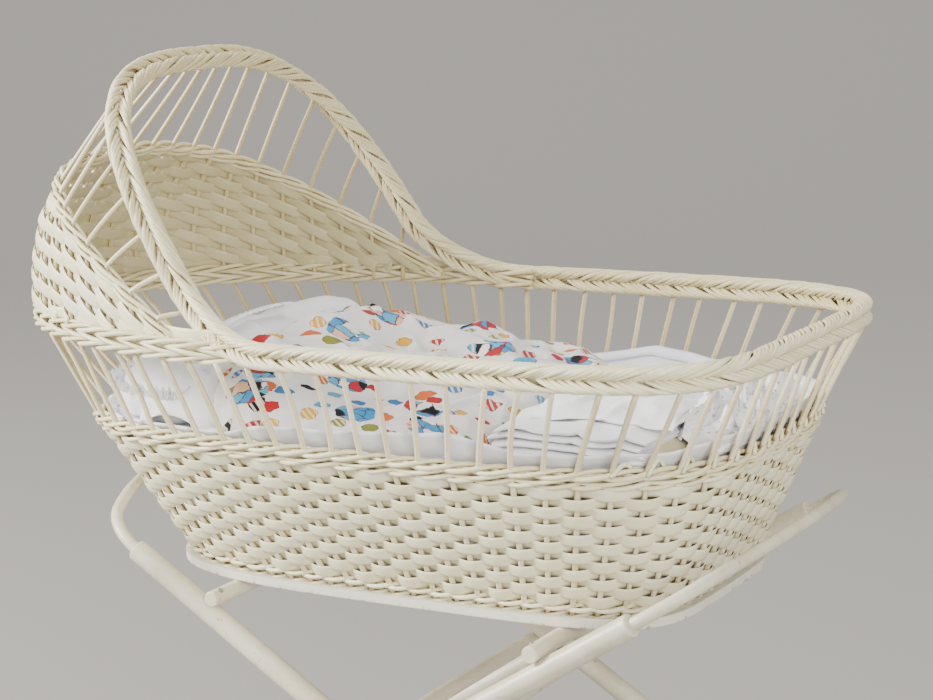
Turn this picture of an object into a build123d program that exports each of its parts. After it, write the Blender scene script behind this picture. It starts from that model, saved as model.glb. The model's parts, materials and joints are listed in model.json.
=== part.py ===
from build123d import *
import math
import os

# Wicker baby cradle: a hooded basket on a folding cross-legged stand. Millimetres.
# +X is the foot end, -X the hood end, -Y and +Y the two long sides, +Z up.
# The origin is on the floor, under the middle of the whole cradle.

# ---------------------------------------------------------------- driving dimensions
POLE_D = 22.0            # round poles of the stand
ROD_D = 12.0             # bent rods: top bows and floor runners
POLE_ANGLE = 32.0        # pole slope above the floor
UPPER_ARM = 325.0        # pivot to the upper end of a pole
LOWER_ARM = 372.0        # pivot to the lower end of a pole
BOW_RISE = 92.0          # how far a bent rod reaches past the pole ends
BOW_CORNER = 62.0        # corner radius of the top bows
RUNNER_CORNER = 70.0     # corner radius of the floor runners
TAIL = 30.0              # rod let into each pole end
INNER_Y = 188.0          # pole axis of the inner frame
OUTER_Y = 211.0          # pole axis of the outer frame
RUNNER_FLAT = 0.9        # planed off the underside of each runner
BAR_D = 16.0             # stop bars and support bars
BOLT_D = 6.0             # pivot bolts
BOLT_CLEAR = 0.05        # radial running clearance on the pivot bolts

BOARD_T = 9.0            # base board
BASKET_DROP = 143.0      # base board underside above the pivot
WEAVE_T = 7.0            # woven wall
BORDER_H = 12.0          # roll at the foot of the wall
WALE_Z = 159.0           # top of the wall's top band, above the board's underside
WALE_H = 18.0
RIM_Z = 235.0            # underside of the rim border
RIM_H = 24.0
RIM_T = 26.0
STAKE_D = 5.5
STAKES = 66              # round the gallery
HOOD_TILT = 0.3           # the hood's foot band rises slightly towards the head
HOOD_BAND_H = 22.0
ARCH_FOOT_X = -157.0     # measured from the pivot, like every basket length below
ARCH_LEAN = 32.7         # the hood's front arch leans towards the head
ARCH_H = 285.0
ARCH_HALF = 216.0
ARCH_T = 24.0
ARCH_SQUARE = 3.1
HOOD_CUT = 32.4          # slope of the woven hood's top edge
HOOD_CUT_Z = 246.0       # height of that edge at the arch's foot
HOOD_STAKES = 27

HEAD_REACH = 488.0       # pivot to the outermost point of the hood
RUNNER_REACH = (LOWER_ARM + BOW_RISE) * math.cos(math.radians(POLE_ANGLE)) + ROD_D / 2

# ---------------------------------------------------------------- worked-out places
slope = math.radians(POLE_ANGLE)
PIVOT_X = (HEAD_REACH - RUNNER_REACH) / 2
PIVOT_Z = (LOWER_ARM + BOW_RISE) * math.sin(slope) + ROD_D / 2 - RUNNER_FLAT
BASE_Z = PIVOT_Z + BASKET_DROP
pivot = Vector(PIVOT_X, 0, PIVOT_Z)

os.makedirs("parts", exist_ok=True)


def save(part, name):
    part.label = name
    export_step(part, f"parts/{name}.step")


# ---------------------------------------------------------------- outlines of the basket
# Each level is an oval with squared ends: half-length to the head, half-length to the foot,
# half-width, place of the widest point, squareness at the head and at the foot.
BOARD_OVAL = (289, 288, 166, -12, 3.2, 5.0)
WALE_OVAL = (365, 356, 227, -20, 3.4, 3.8)
RIM_OVAL = (444, 413, 262, -42, 2.2, 5.1)
HOOD_OVAL_LOW = (443, 300, 248, -42, 2.3, 3.0)
HOOD_OVAL_TOP = (278, 300, 226, -128, 2.4, 3.0)


def oval_point(oval, turn, inset=0.0):
    head, foot, half, middle, square_head, square_foot = oval
    c, s = math.cos(turn), math.sin(turn)
    square = square_foot if c > 0 else square_head
    reach = (foot if c > 0 else head) - inset
    x = math.copysign(abs(c) ** (2 / square), c) * reach
    y = math.copysign(abs(s) ** (2 / square), s) * (half - inset)
    return PIVOT_X + middle + x, y


def oval_between(low, high, share):
    return tuple(a + (b - a) * share for a, b in zip(low, high))


def oval_points(oval, inset=0.0, count=56):
    return [oval_point(oval, 2 * math.pi * (i + 0.5) / count, inset) for i in range(count)]


def oval_sketch(oval, z, inset=0.0):
    with BuildSketch(Plane.XY.offset(BASE_Z + z)) as sketch:
        with BuildLine():
            Spline(*oval_points(oval, inset), periodic=True)
        make_face()
    return sketch.sketch


def ring(levels, thickness):
    """Hollow band through the outlines in levels, each an (oval, height above the board)."""
    with BuildPart() as band:
        loft(sections=[oval_sketch(oval, z) for oval, z in levels], ruled=True)
        loft(sections=[oval_sketch(oval, z, thickness) for oval, z in levels], ruled=True, mode=Mode.SUBTRACT)
    return band.part


def wall_oval(z):
    """Outline of the wall's outer face at height z above the board's underside."""
    foot_of_wall = tuple(v - 6 if i < 3 else v for i, v in enumerate(BOARD_OVAL))
    if z <= WALE_Z:
        return oval_between(foot_of_wall, WALE_OVAL, (z - BOARD_T) / (WALE_Z - BOARD_T))
    return oval_between(WALE_OVAL, RIM_OVAL, (z - WALE_Z) / (RIM_Z - WALE_Z))


def evenly(points, count, closed=False):
    """Places at equal steps along a line of points, each as a share of the points' list."""
    line = points + points[:1] if closed else points
    steps = [math.dist(a, b) for a, b in zip(line, line[1:])]
    total = sum(steps)
    marks = [total * (i + 0.5) / count for i in range(count)]
    places = []
    run = 0.0
    for (a, b), step in zip(zip(line, line[1:]), steps):
        while marks and marks[0] <= run + step:
            share = (marks.pop(0) - run) / step
            places.append(tuple(u + (v - u) * share for u, v in zip(a, b)))
        run += step
    return places


# ================================================================ the stand
# A pole frame lies in a sloping plane through the pivot. way = -1: upper end at the head,
# way = +1: upper end at the foot.
def pole_plane(way, y):
    along = Vector(way * math.cos(slope), 0, math.sin(slope))
    return Plane(origin=(PIVOT_X, y, PIVOT_Z), x_dir=(0, 1, 0), z_dir=along)


def frame_plane(way):
    """Plane of a whole pole frame: x across the cradle, y up along the poles."""
    along = Vector(way * math.cos(slope), 0, math.sin(slope))
    across = Vector(0, 1, 0)
    return Plane(origin=(PIVOT_X, 0, PIVOT_Z), x_dir=across, z_dir=across.cross(along))


def make_pole(way, y):
    """One pole, bored at both ends for the bent rods and across for the pivot bolt."""
    with BuildPart() as pole:
        with BuildSketch(pole_plane(way, y).offset(-LOWER_ARM)):
            Circle(POLE_D / 2)
        extrude(amount=LOWER_ARM + UPPER_ARM)
        fillet(pole.edges().filter_by(GeomType.CIRCLE), 2.0)
        for end in (-LOWER_ARM, UPPER_ARM - TAIL):
            with BuildSketch(pole_plane(way, y).offset(end)):
                Circle(ROD_D / 2)
            extrude(amount=TAIL, mode=Mode.SUBTRACT)
        with BuildSketch(Plane(origin=(PIVOT_X, y, PIVOT_Z), z_dir=(0, 1, 0))):
            Circle(BOLT_D / 2 + BOLT_CLEAR)
        extrude(amount=POLE_D, both=True, mode=Mode.SUBTRACT)
    return pole.part


def make_top_bow(way, half):
    """Bent rod joining the upper ends of two poles in a low arch, its tails let into them."""
    rise = BOW_RISE
    corner = BOW_CORNER
    crown_r = ((half - corner) ** 2 + rise ** 2 - corner ** 2) / (2 * (rise - corner))
    crown_c = rise - crown_r
    lean = math.atan2(half - corner, -crown_c)
    meet_x = crown_r * math.sin(lean)
    meet_y = crown_c + crown_r * math.cos(lean)
    side = Vector(corner * math.cos(math.pi / 4 - lean / 2), corner * math.sin(math.pi / 4 - lean / 2))
    plane = frame_plane(way)
    base = UPPER_ARM
    with BuildPart() as bow:
        with BuildLine(plane) as path:
            Line((-half, base - TAIL), (-half, base))
            ThreePointArc((-half, base), (-half + corner - side.X, base + side.Y), (-meet_x, base + meet_y))
            ThreePointArc((-meet_x, base + meet_y), (0, base + rise), (meet_x, base + meet_y))
            ThreePointArc((meet_x, base + meet_y), (half - corner + side.X, base + side.Y), (half, base))
            Line((half, base), (half, base - TAIL))
        with BuildSketch(Plane(origin=path.line @ 0, z_dir=path.line % 0)):
            Circle(ROD_D / 2)
        sweep(transition=Transition.ROUND)
    return bow.part


def make_runner(way, half):
    """Bent rod joining the lower ends of two poles, with a straight run that stands on the floor."""
    low = -(LOWER_ARM + BOW_RISE)
    plane = frame_plane(way)
    with BuildPart() as runner:
        with BuildLine(plane) as path:
            FilletPolyline(
                (-half, -LOWER_ARM + TAIL), (-half, low), (half, low), (half, -LOWER_ARM + TAIL),
                radius=RUNNER_CORNER,
            )
        with BuildSketch(Plane(origin=path.line @ 0, z_dir=path.line % 0)):
            Circle(ROD_D / 2)
        sweep()
        split(bisect_by=Plane.XY, keep=Keep.TOP)
    return runner.part


def make_bar(way, along, off, half):
    """Round bar across a frame, along mm up the poles from the pivot and off mm above them."""
    plane = frame_plane(way)
    up = plane.y_dir
    out = Vector(-up.Z * way, 0, up.X * way)
    centre = pivot + up * along + out * off
    with BuildPart() as bar:
        with BuildSketch(Plane(origin=centre - Vector(0, half, 0), z_dir=(0, 1, 0))):
            Circle(BAR_D / 2)
        extrude(amount=2 * half)
        fillet(bar.edges().filter_by(GeomType.CIRCLE), 1.5)
    return bar.part, centre, out


BAR_OFF = (POLE_D + BAR_D) / 2
STOP_ALONG = BAR_OFF / math.tan(slope) + 1.0
# A support bar's top is level with the underside of the base board.
SUPPORT_ALONG = (BASKET_DROP - BAR_D / 2 - BAR_OFF * math.cos(slope)) / math.sin(slope)

frames = {"inner": (-1, INNER_Y), "outer": (1, OUTER_Y)}
bar_ends = {}
for frame, (way, y) in frames.items():
    save(make_pole(way, -y), f"{frame}_pole_near")
    save(make_pole(way, y), f"{frame}_pole_far")
    save(make_top_bow(way, y), f"{frame}_top_bow")
    save(make_runner(way, y), f"{frame}_floor_runner")
    stop, stop_centre, out = make_bar(way, STOP_ALONG, -BAR_OFF, OUTER_Y + POLE_D / 2)
    save(stop, f"{frame}_stop_bar")
    support, support_centre, out = make_bar(way, SUPPORT_ALONG, BAR_OFF, y + POLE_D / 2)
    save(support, f"{frame}_support_bar")
    bar_ends[frame] = (stop_centre, support_centre, out, y)

# ---------------------------------------------------------------- pivots and nails
def make_pivot_bolts():
    """Dome-headed bolts through both poles of each side, heads outside."""
    with BuildPart() as bolts:
        for side in (-1, 1):
            head = Plane(origin=(PIVOT_X, side * (OUTER_Y + POLE_D / 2 + 0.1), PIVOT_Z), z_dir=(0, side, 0))
            with BuildSketch(head):
                Circle(7.5)
            extrude(amount=4)
            fillet(bolts.faces().sort_by(Axis.Y)[0 if side < 0 else -1].edges(), 3.2)
            with BuildSketch(head):
                Circle(BOLT_D / 2)
            extrude(amount=-(OUTER_Y - INNER_Y + POLE_D + 9))
    return bolts.part


def make_pivot_nuts():
    """Hexagon nuts inside the inner poles."""
    with BuildPart() as nuts:
        for side in (-1, 1):
            with BuildSketch(Plane(origin=(PIVOT_X, side * (INNER_Y - POLE_D / 2), PIVOT_Z), z_dir=(0, -side, 0))):
                RegularPolygon(BOLT_D, 6)
                Circle(BOLT_D / 2, mode=Mode.SUBTRACT)
            extrude(amount=5)
    return nuts.part


def make_pivot_washers():
    """Thin washers that keep the crossing poles apart."""
    gap = OUTER_Y - INNER_Y - POLE_D
    with BuildPart() as washers:
        for side in (-1, 1):
            with BuildSketch(Plane(origin=(PIVOT_X, side * (INNER_Y + POLE_D / 2), PIVOT_Z), z_dir=(0, side, 0))):
                Circle(8)
                Circle(BOLT_D / 2 + BOLT_CLEAR, mode=Mode.SUBTRACT)
            extrude(amount=gap - 0.1)
    return washers.part


def make_nails(frame):
    """Round-headed nails that hold both bars of a frame to its poles."""
    stop_at, support_at, out, y = bar_ends[frame]
    with BuildPart() as nails:
        for bar_at, away in ((stop_at, out * -1), (support_at, out)):
            for side in (-1, 1):
                head = bar_at + Vector(0, side * y, 0) + away * (BAR_D / 2 - 0.4)
                with BuildSketch(Plane(origin=head, z_dir=away)):
                    Circle(2.8)
                extrude(amount=1.4)
                with BuildSketch(Plane(origin=head, z_dir=away)):
                    Circle(1.3)
                extrude(amount=-(BAR_D + POLE_D * 0.6))
    return nails.part


save(make_pivot_bolts(), "pivot_bolts")
save(make_pivot_nuts(), "pivot_nuts")
save(make_pivot_washers(), "pivot_washers")
save(make_nails("inner"), "inner_bar_nails")
save(make_nails("outer"), "outer_bar_nails")


# ================================================================ the basket
BORDER_TOP = BOARD_T + BORDER_H
WALL_TOP = WALE_Z - WALE_H
arch_x = PIVOT_X + ARCH_FOOT_X
tilt = math.radians(HOOD_TILT)

with BuildPart() as base_board:
    with BuildSketch(Plane.XY.offset(BASE_Z)):
        with BuildLine():
            Spline(*oval_points(BOARD_OVAL), periodic=True)
        make_face()
    extrude(amount=BOARD_T)
    fillet(base_board.edges().group_by(Axis.Z)[0], 1.5)
save(base_board.part, "base_board")

save(ring([(wall_oval(z), z) for z in (BOARD_T, BORDER_TOP)], 12), "base_border")
save(ring([(wall_oval(z), z) for z in (BORDER_TOP, WALL_TOP)], WEAVE_T), "lower_wall")
save(ring([(wall_oval(z), z) for z in (WALL_TOP, WALE_Z)], 13), "lower_wale")

# ---- rim border: round the foot and along both sides as far as the hood's arch
front_half = Plane(origin=(arch_x, 0, 0), z_dir=(1, 0, 0))
rim_ring = ring([(RIM_OVAL, RIM_Z), (RIM_OVAL, RIM_Z + RIM_H)], RIM_T)
with BuildPart() as rim_border:
    add(rim_ring)
    split(bisect_by=front_half, keep=Keep.TOP)
save(rim_border.part, "rim_border")

# ---- hood foot band: the same outline round the head, rising slightly
hood_foot = Plane(origin=(arch_x, 0, BASE_Z + RIM_Z), x_dir=(math.cos(tilt), 0, -math.sin(tilt)),
                  z_dir=(math.sin(tilt), 0, math.cos(tilt)))


def tilted_face(inset):
    with BuildSketch(hood_foot) as face:
        with BuildLine():
            Spline(*[(x - arch_x, y) for x, y in oval_points(RIM_OVAL, inset)], periodic=True)
        make_face()
    return face.sketch


with BuildPart() as hood_foot_band:
    extrude(tilted_face(0), amount=HOOD_BAND_H)
    extrude(tilted_face(16), amount=HOOD_BAND_H, mode=Mode.SUBTRACT)
    split(bisect_by=front_half, keep=Keep.BOTTOM)
save(hood_foot_band.part, "hood_foot_band")


# ---- gallery: upright stakes between the wall's top band and the rim
def stake(low, low_plane, high, high_plane):
    """The two ends of a stake, each lying flush on its plane."""
    with BuildSketch(Plane(origin=low, z_dir=low_plane.z_dir)) as foot:
        Circle(STAKE_D / 2)
    with BuildSketch(Plane(origin=high, z_dir=high_plane.z_dir)) as head:
        Circle(STAKE_D / 2)
    return foot.sketch, head.sketch


level = Plane.XY
foot_marks = evenly(oval_points(WALE_OVAL, 6.5, 200), STAKES, closed=True)
head_marks = evenly(oval_points(RIM_OVAL, 10, 200), STAKES, closed=True)
groups = {"gallery_stakes_near": [], "gallery_stakes_far": [], "gallery_stakes_foot": [], "gallery_stakes_head": []}
for (x0, y0), (x1, y1) in zip(foot_marks, head_marks):
    low = Vector(x0, y0, BASE_Z + WALE_Z)
    rise = max(0, arch_x - x1) * math.tan(tilt)
    high = Vector(x1, y1, BASE_Z + RIM_Z + rise)
    ends = stake(low, level, high, hood_foot if x1 < arch_x else level)
    if x0 - PIVOT_X < ARCH_FOOT_X - 60:
        groups["gallery_stakes_head"].append(ends)
    elif x0 - PIVOT_X > 230:
        groups["gallery_stakes_foot"].append(ends)
    else:
        groups["gallery_stakes_near" if y0 < 0 else "gallery_stakes_far"].append(ends)
for name, stakes in groups.items():
    with BuildPart() as gallery:
        for foot, head in stakes:
            loft(sections=[foot, head], ruled=True)
    save(gallery.part, name)

# ================================================================ the hood
cut = math.radians(HOOD_CUT)
cut_plane = Plane(origin=(arch_x, 0, BASE_Z + HOOD_CUT_Z), z_dir=(math.sin(cut), 0, math.cos(cut)))
band_top = hood_foot.offset(HOOD_BAND_H)
HOOD_LEVELS = [(225, 0.0), (262, -0.02), (300, 0.02), (345, 0.22), (385, 0.62), (420, 1.08)]


def hood_oval(z):
    """Outline of the hood at height z: almost upright at first, then drawn in towards the top."""
    for (z0, s0), (z1, s1) in zip(HOOD_LEVELS, HOOD_LEVELS[1:]):
        if z <= z1:
            break
    return oval_between(HOOD_OVAL_LOW, HOOD_OVAL_TOP, s0 + (s1 - s0) * (z - z0) / (z1 - z0))


def hood_shell(proud, thickness):
    levels = []
    for z, share in HOOD_LEVELS:
        oval = hood_oval(z)
        levels.append((tuple(v + proud if i < 3 else v for i, v in enumerate(oval)), z))
    return ring(levels, thickness)


with BuildPart() as hood_weave:
    add(hood_shell(0, WEAVE_T))
    split(bisect_by=front_half, keep=Keep.BOTTOM)
    split(bisect_by=band_top, keep=Keep.TOP)
    split(bisect_by=cut_plane.offset(-14), keep=Keep.BOTTOM)
save(hood_weave.part, "hood_weave")

with BuildPart() as hood_wale:
    add(hood_shell(2, 12))
    split(bisect_by=front_half, keep=Keep.BOTTOM)
    split(bisect_by=band_top, keep=Keep.TOP)
    split(bisect_by=cut_plane, keep=Keep.BOTTOM)
    split(bisect_by=cut_plane.offset(-14), keep=Keep.TOP)
save(hood_wale.part, "hood_wale")

# ---- plaited front arch, leaning back over the head
lean = math.radians(ARCH_LEAN)
arch_up = Vector(-math.sin(lean), 0, math.cos(lean))
arch_plane = Plane(origin=(arch_x, 0, BASE_Z + RIM_Z + RIM_H), x_dir=(0, 1, 0), z_dir=Vector(0, 1, 0).cross(arch_up))


def arch_points(inset, count=40):
    points = []
    for i in range(count + 1):
        turn = math.pi * i / count
        c, s = math.cos(turn), math.sin(turn)
        across = math.copysign(abs(c) ** (2 / ARCH_SQUARE), c) * (ARCH_HALF - inset)
        points.append((across, abs(s) ** (2 / ARCH_SQUARE) * (ARCH_H - inset)))
    return points


def arch_face(inset):
    points = arch_points(inset)
    points[0] = (points[0][0], 0)
    points[-1] = (points[-1][0], 0)
    with BuildSketch(arch_plane) as face:
        with BuildLine():
            Spline(*points)
            Line(points[-1], points[0])
        make_face()
    return face.sketch


with BuildPart() as hood_arch:
    extrude(arch_face(-ARCH_T / 2), amount=ARCH_T / 2, both=True)
    extrude(arch_face(ARCH_T / 2), amount=ARCH_T / 2, both=True, mode=Mode.SUBTRACT)
    split(bisect_by=Plane.XY.offset(BASE_Z + RIM_Z + RIM_H), keep=Keep.TOP)
    split(bisect_by=band_top, keep=Keep.TOP)
save(hood_arch.part, "hood_arch")

# ---- hood stakes, from the woven edge up to the back of the arch
arch_back = arch_plane.offset(ARCH_T / 2 if arch_plane.z_dir.X < 0 else -ARCH_T / 2)
woven_edge = []
for i in range(161):
    turn = math.pi * (0.5 + i / 160)
    z = 300.0
    for step in range(30):
        x, y = oval_point(hood_oval(z), turn, 4)
        z = 0.5 * z + 0.5 * (HOOD_CUT_Z + (arch_x - x) * math.tan(cut))
    woven_edge.append((x, y, BASE_Z + z))
arch_edge = []
for across, high in arch_points(0, 160):
    place = arch_back.origin + Vector(0, 1, 0) * across + arch_up * high
    arch_edge.append((place.X, place.Y, place.Z))
with BuildPart() as hood_stakes:
    pairs = list(zip(evenly(woven_edge, HOOD_STAKES), evenly(arch_edge, HOOD_STAKES)))
    for low, high in pairs[4:-4]:
        foot, head = stake(Vector(*low), cut_plane, Vector(*high), arch_back)
        loft(sections=[foot, head], ruled=True)
save(hood_stakes.part, "hood_stakes")


# ================================================================ the bedding
def soft_layer(name, z_low, z_high, inset, rounding):
    """Soft layer that fills the basket's outline between two heights."""
    with BuildPart() as layer:
        loft(sections=[oval_sketch(wall_oval(z), z, inset) for z in (z_low, z_high)], ruled=True)
        fillet(layer.edges().group_by(Axis.Z)[-1], rounding)
    save(layer.part, name)


def soft_block(name, x0, x1, half0, half1, middle, z_low, z_high, rounding):
    """Stuffed or folded piece lying flat: x is measured from the pivot, half-widths at its two ends."""
    with BuildPart() as block:
        with BuildSketch(Plane.XY.offset(BASE_Z + z_low)) as low:
            with BuildLine():
                Polyline((PIVOT_X + x0, middle - half0), (PIVOT_X + x1, middle - half1),
                         (PIVOT_X + x1, middle + half1), (PIVOT_X + x0, middle + half0), close=True)
            make_face()
            fillet(low.vertices(), 10)
        extrude(amount=z_high - z_low)
        fillet(block.edges().group_by(Axis.Z)[-1], rounding)
    save(block.part, name)


soft_layer("mattress", BORDER_TOP - 9, 112, WEAVE_T + 8, 10)
soft_layer("folded_blanket", 114, 148, WEAVE_T + 9, 6)

with BuildPart() as under_sheet:
    loft(sections=[oval_sketch(wall_oval(z), z, 22) for z in (150, 184)], ruled=True)
    loft(sections=[oval_sketch(wall_oval(z), z, 27) for z in (156, 184)], ruled=True, mode=Mode.SUBTRACT)
    for end in (-1, 1):
        with Locations((PIVOT_X - 20 + end * 330, 0, BASE_Z + 190)):
            Box(190, 600, 68, mode=Mode.SUBTRACT)
save(under_sheet.part, "under_sheet")

soft_block("pillow", -352, -196, 128, 172, 0, 162, 226, 24)
soft_block("patterned_quilt", -186, 104, 168, 172, -16, 158, 236, 30)
soft_block("folded_cloths", 118, 268, 72, 72, -94, 158, 204, 12)
soft_block("lace_cloth", 288, 318, 92, 78, -4, 162, 212, 8)
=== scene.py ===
import bmesh
import bpy
import json
import math
import numpy as np
from mathutils import Matrix, Vector


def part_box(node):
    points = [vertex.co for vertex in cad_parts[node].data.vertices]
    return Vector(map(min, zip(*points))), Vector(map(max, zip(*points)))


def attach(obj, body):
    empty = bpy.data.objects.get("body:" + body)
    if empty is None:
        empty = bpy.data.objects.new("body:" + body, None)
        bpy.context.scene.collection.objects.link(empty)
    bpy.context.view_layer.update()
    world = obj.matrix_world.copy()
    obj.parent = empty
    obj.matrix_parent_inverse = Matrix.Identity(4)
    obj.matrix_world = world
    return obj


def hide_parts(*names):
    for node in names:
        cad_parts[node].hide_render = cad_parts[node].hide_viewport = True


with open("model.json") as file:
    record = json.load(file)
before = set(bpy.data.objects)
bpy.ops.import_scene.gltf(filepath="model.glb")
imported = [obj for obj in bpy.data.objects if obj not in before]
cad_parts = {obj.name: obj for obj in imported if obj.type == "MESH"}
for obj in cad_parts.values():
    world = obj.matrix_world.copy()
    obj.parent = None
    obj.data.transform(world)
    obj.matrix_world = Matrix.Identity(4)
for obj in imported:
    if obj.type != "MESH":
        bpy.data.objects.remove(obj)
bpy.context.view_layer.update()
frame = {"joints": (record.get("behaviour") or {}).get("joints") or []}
rng = np.random.default_rng(7)

# ---------------------------------------------------------------- places from the frame
# Lengths are in metres. Heights are from the underside of the base board. The x places of the ovals and
# of the bedding are from the pivot.
fold = next(joint for joint in frame["joints"] if joint["name"] == "stand_fold")
PIVOT_X = fold["pos_m"][0]
BASE_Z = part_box("base_board")[0].z  # underside of the base board
ABOVE_FLOOR = np.array([0, 0, BASE_Z])
LEVEL_NODES = ("base_board", "base_border", "lower_wall", "lower_wale", "rim_border")
BOARD_TOP, BORDER_TOP, WALL_TOP, WALE_TOP, RIM_TOP = (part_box(name)[1].z - BASE_Z for name in LEVEL_NODES)
RIM_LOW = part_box("rim_border")[0].z - BASE_Z
MIDDLE_X = PIVOT_X - 0.04  # of the basket

# ---------------------------------------------------------------- the hood
ARCH_X = PIVOT_X - 0.157  # where the arch stands on the rim
ARCH_LEAN = math.radians(32.7)  # towards the head
ARCH_HALF, ARCH_HIGH, ARCH_SQUARE = 0.216, 0.285, 3.1
HOOD_TILT = math.radians(0.3)  # rise of the foot band towards the head
HOOD_BAND = 0.022  # height of the foot band
HOOD_CUT = math.radians(32.4)  # slope of the woven top edge
HOOD_CUT_Z = 0.246  # height of that edge at the arch

# ---------------------------------------------------------------- size of the weaving
SIDES = ("near", "far", "foot", "head")
STAKES = 66
STAKE_R = 0.00275
STAKE_TOP_INSET = 0.010  # from the rim's outline
WALL_FOOT_INSET = 0.006  # from the board's outline
SPLINT_W, SPLINT_T = 0.0128, 0.0015  # width and thickness
SPLINT_STEPS = 8  # points of a splint from stake to stake
WEAVE_INSET = 0.0045  # from the outline to the middle of the weave
WEAVE_SWING = 0.0034  # of a splint to each side of the stakes
WALL_ROWS = 13
HOOD_PITCH = 0.0104  # from row to row of the hood's splints
WALE_STEPS = 9  # points of a twisted rod from stake to stake
HOOP_SPAN = 5  # of those points that a hoop at the foot end passes
PLAIT_PERIOD = 0.160  # length in which a strand comes back to its own side
PLAIT_STRANDS = 5
PLAIT_INSET = 0.013
PLAIT_HALF, PLAIT_DEEP = 0.0104, 0.0072  # swing of a strand across the plait and through it
PLAIT_ROD_R = 0.00208

CLOTH_GAP = 0.0145  # from the wall's outline to cloth that touches it
COVER = np.linspace(0.97, 0.02, 14)  # rings that cover the top of a padded piece, outermost first

BLACK, WHITE = (0, 0, 0), (1, 1, 1)
BARE_WILLOW = (0.50, 0.37, 0.19)

# Half-length to the head, half-length to the foot, half-width, widest place, squareness of each end.
BOARD_OVAL = np.array([0.289, 0.288, 0.166, -0.012, 3.2, 5.0])
WALE_OVAL = np.array([0.365, 0.356, 0.227, -0.020, 3.4, 3.8])
RIM_OVAL = np.array([0.444, 0.413, 0.262, -0.042, 2.2, 5.1])
HOOD_LOW = np.array([0.443, 0.300, 0.248, -0.042, 2.3, 3.0])
HOOD_HIGH = np.array([0.278, 0.300, 0.226, -0.128, 2.4, 3.0])
HOOD_LEVELS = [(0.225, 0.0), (0.262, -0.02), (0.300, 0.02), (0.345, 0.22), (0.385, 0.62), (0.420, 1.08)]
SIZES = np.array([1.0, 1.0, 1.0, 0.0, 0.0, 0.0])  # the terms of an oval that an inset shortens


# ================================================================ outlines
def round_turns(count):
    return np.linspace(0, 2 * np.pi, count, endpoint=False)


def squared(v, square):
    """A cosine or sine pushed out towards the corners of a superellipse."""
    return np.sign(v) * np.abs(v) ** (2 / square)


def oval_xy(oval, turn):
    """Points of an oval in the shared frame."""
    head, foot, half, middle, square_head, square_foot = oval
    c, s = np.cos(turn), np.sin(turn)
    square = np.where(c > 0, square_foot, square_head)
    x = squared(c, square) * np.where(c > 0, foot, head)
    return PIVOT_X + middle + x, squared(s, square) * half


def wall_oval(z):
    """The wall's outline at a height: straight from the board to the wale, then straight to the rim."""
    wall_foot = BOARD_OVAL - WALL_FOOT_INSET * SIZES
    if z <= WALE_TOP:
        return wall_foot + (WALE_OVAL - wall_foot) * (z - BOARD_TOP) / (WALE_TOP - BOARD_TOP)
    return WALE_OVAL + (RIM_OVAL - WALE_OVAL) * (z - WALE_TOP) / (RIM_LOW - WALE_TOP)


def hood_oval(z):
    """The hood's outline at a height, from its low oval towards its high one."""
    heights, shares = zip(*HOOD_LEVELS)
    return HOOD_LOW + (HOOD_HIGH - HOOD_LOW) * np.interp(z, heights, shares)


def even(line, count, closed, axes=3):
    """count points at equal steps along a line; on a closed line the first is half a step in.
    Columns after the line's own axes are carried along."""
    if closed:
        line = np.vstack([line, line[:1]])
    run = np.concatenate([[0], np.cumsum(np.linalg.norm(np.diff(line[:, :axes], axis=0), axis=1))])
    marks = (np.arange(count) + 0.5) / count * run[-1] if closed else np.linspace(0, run[-1], count)
    return np.stack([np.interp(marks, run, line[:, i]) for i in range(line.shape[1])], -1)


TURNS = round_turns(900) + 1e-4


def closed_ring(oval, z, count, inset=0.0):
    """Points at even steps round an oval."""
    x, y = oval_xy(oval - inset * SIZES, TURNS)
    ring = even(np.stack([x, y], -1), count, True, 2)
    return np.column_stack([ring, np.full(count, BASE_Z + z)])


def outward(ring, closed=True):
    """Unit normals in the level plane, pointing out of the basket."""
    along = steps_along(ring, closed)
    return unit(np.column_stack([along[:, 1], -along[:, 0], np.zeros(len(ring))]))


def steps_along(path, closed):
    """From the point before to the point after, at every point of a path."""
    along = np.roll(path, -1, 0) - np.roll(path, 1, 0)
    if not closed:
        along[0], along[-1] = path[1] - path[0], path[-1] - path[-2]
    return along


def unit(v):
    return v / np.maximum(np.linalg.norm(v, axis=-1, keepdims=True), 1e-12)


def wall_ring(z, count, inset=0.0):
    """Ring on the flared wall with its true outward normals."""
    ring = closed_ring(wall_oval(z), z, count, inset)
    above = closed_ring(wall_oval(z + 0.004), z + 0.004, count, inset)
    side = outward(ring)
    rise = unit(above - ring)
    along = unit(np.cross(side, rise))
    return ring, unit(np.cross(rise, along))


# ================================================================ mesh building
def shade_smooth(mesh):
    mesh.polygons.foreach_set("use_smooth", np.ones(len(mesh.polygons), dtype=bool))


def new_piece(name, verts, faces, material):
    """A smooth mesh object in the scene."""
    mesh = bpy.data.meshes.new(name)
    mesh.from_pydata(verts.tolist(), [], faces)
    shade_smooth(mesh)
    mesh.materials.append(material)
    piece = bpy.data.objects.new(name, mesh)
    bpy.context.scene.collection.objects.link(piece)
    return piece


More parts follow.
